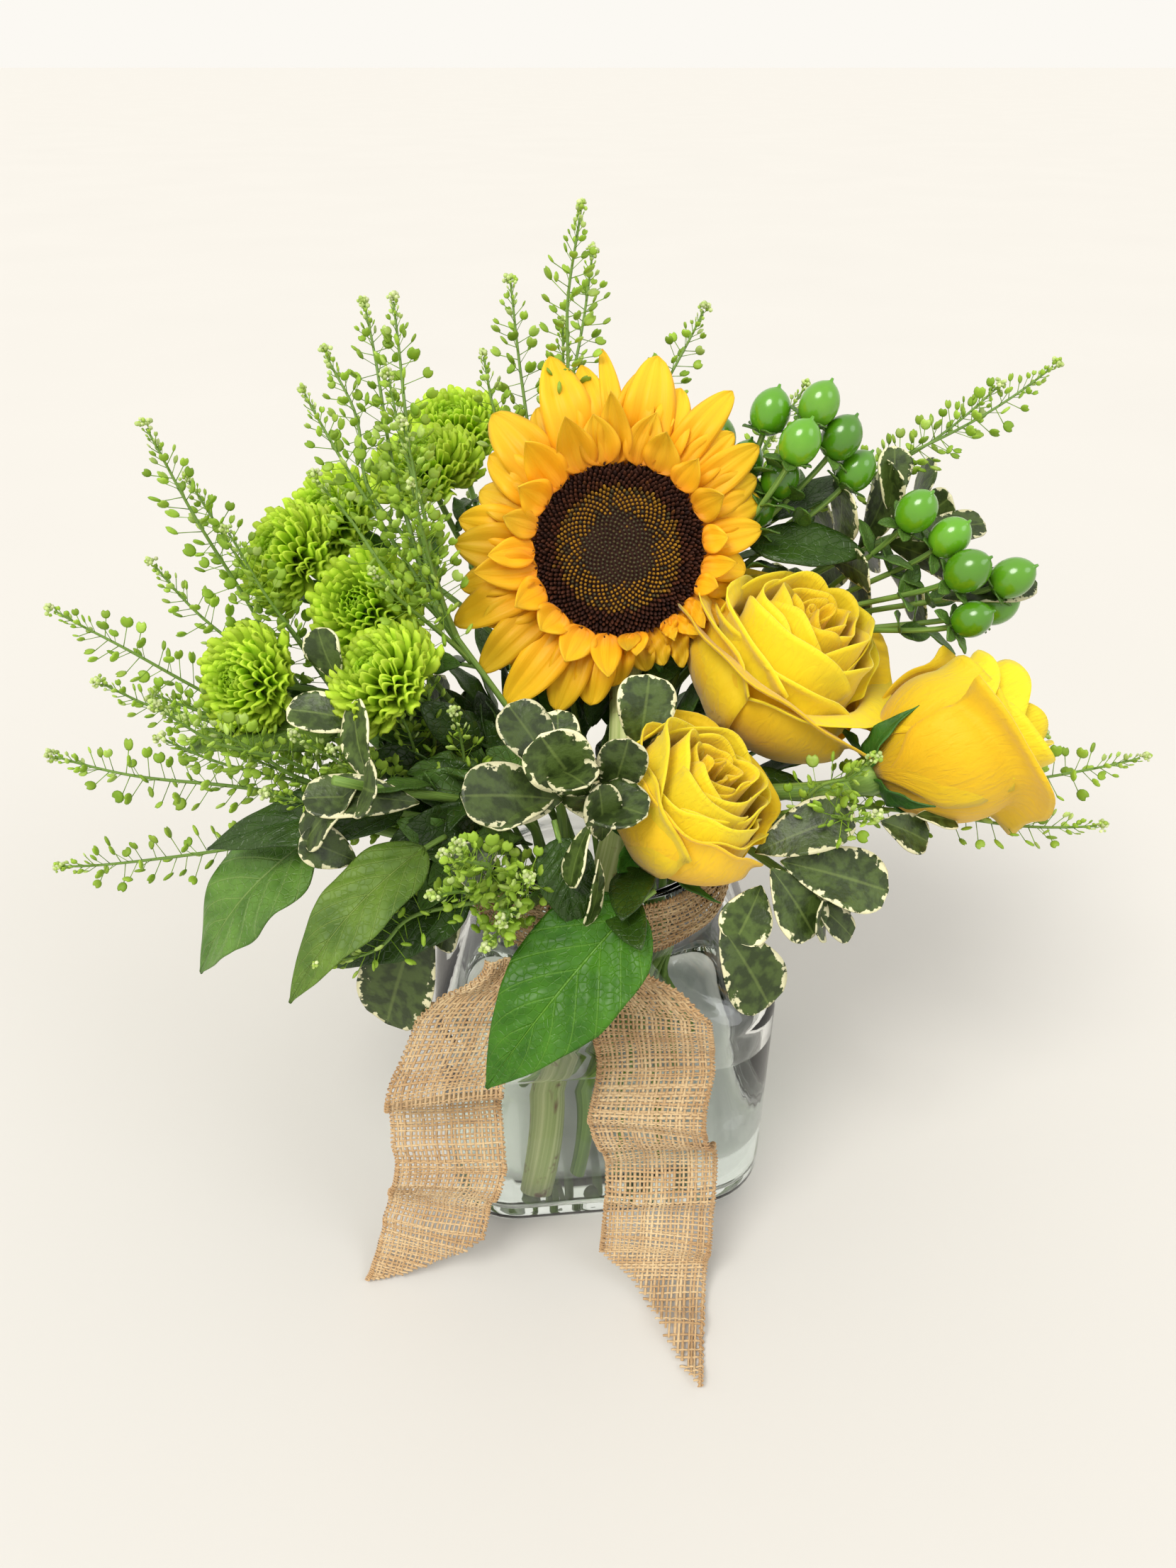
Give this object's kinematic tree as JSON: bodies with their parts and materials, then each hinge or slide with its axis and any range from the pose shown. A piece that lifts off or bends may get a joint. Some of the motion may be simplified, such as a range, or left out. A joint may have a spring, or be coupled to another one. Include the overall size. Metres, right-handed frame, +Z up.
{
  "type": "sunflower bouquet in a glass jar",
  "caption": "Mixed bouquet with a sunflower, yellow roses, green button mums, berries and foliage, standing in a square glass jar of water tied with a burlap ribbon.",
  "frame": {"origin": "centre of the jar's flat underside", "axes": "+Z up, -Y the bouquet's front, where the sunflower looks, +X to the right seen from the front"},
  "size_m": [0.3523, 0.2513, 0.3242],
  "materials": {
    "jar_glass": "clear pressed glass, fire-polished",
    "water": "clear water",
    "burlap": "open plain-weave natural jute",
    "ray_petal": "velvety golden-yellow petal",
    "seed_disc": "dark maroon-brown florets, matte",
    "rose_petal": "soft yellow petal",
    "mum_petal": "lime-green petal",
    "hypericum_berry": "glossy green berry skin",
    "pennycress_pod": "thin light-green seed pods",
    "green_stem": "fresh green stem, satin",
    "salal_leaf": "leathery leaf, satin",
    "variegated_leaf": "grey-green leaf with a cream margin, satin"
  },
  "bodies": {
    "root": {"glass_jar": "jar_glass", "hypericum_right": "hypericum_berry", "hypericum_upper": "hypericum_berry", "jar_water": "water", "mum_head_1": "mum_petal", "mum_head_2": "mum_petal", "mum_head_3": "mum_petal", "mum_head_4": "mum_petal", "mum_head_5": "mum_petal", "mum_head_6": "mum_petal", "mum_head_7": "mum_petal", "mum_stem_back": "green_stem", "mum_stem_left": "green_stem", "pennycress_back": "pennycress_pod", "pennycress_crown": "pennycress_pod", "pennycress_front": "pennycress_pod", "pennycress_front_right": "pennycress_pod", "pennycress_left": "pennycress_pod", "pennycress_lower_left": "pennycress_pod", "pennycress_right": "pennycress_pod", "pennycress_upper_left": "pennycress_pod", "pennycress_upper_right": "pennycress_pod", "pittosporum_back_left": "variegated_leaf", "pittosporum_back_right": "variegated_leaf", "pittosporum_front": "variegated_leaf", "pittosporum_front_left": "variegated_leaf", "pittosporum_front_right": "variegated_leaf", "pittosporum_upper_right": "variegated_leaf", "ribbon_band": "burlap", "ribbon_knot": "burlap", "ribbon_tail_left": "burlap", "ribbon_tail_right": "burlap", "rose_front_bloom": "rose_petal", "rose_front_stem": "green_stem", "rose_right_bloom": "rose_petal", "rose_right_stem": "green_stem", "rose_upper_bloom": "rose_petal", "rose_upper_stem": "green_stem", "salal_leaf_back_left": "salal_leaf", "salal_leaf_back_low": "salal_leaf", "salal_leaf_back_right": "salal_leaf", "salal_leaf_front_large": "salal_leaf", "salal_leaf_front_small": "salal_leaf", "salal_leaf_left_dark": "salal_leaf", "salal_leaf_left_large": "salal_leaf", "salal_leaf_left_long": "salal_leaf", "salal_leaf_left_olive": "salal_leaf", "salal_leaf_left_upper": "salal_leaf", "salal_stem_back": "green_stem", "salal_stem_front": "green_stem", "salal_stem_left": "green_stem", "sunflower_disc": "seed_disc", "sunflower_petals": "ray_petal", "sunflower_stem": "green_stem"}
  },
  "joints": []
}
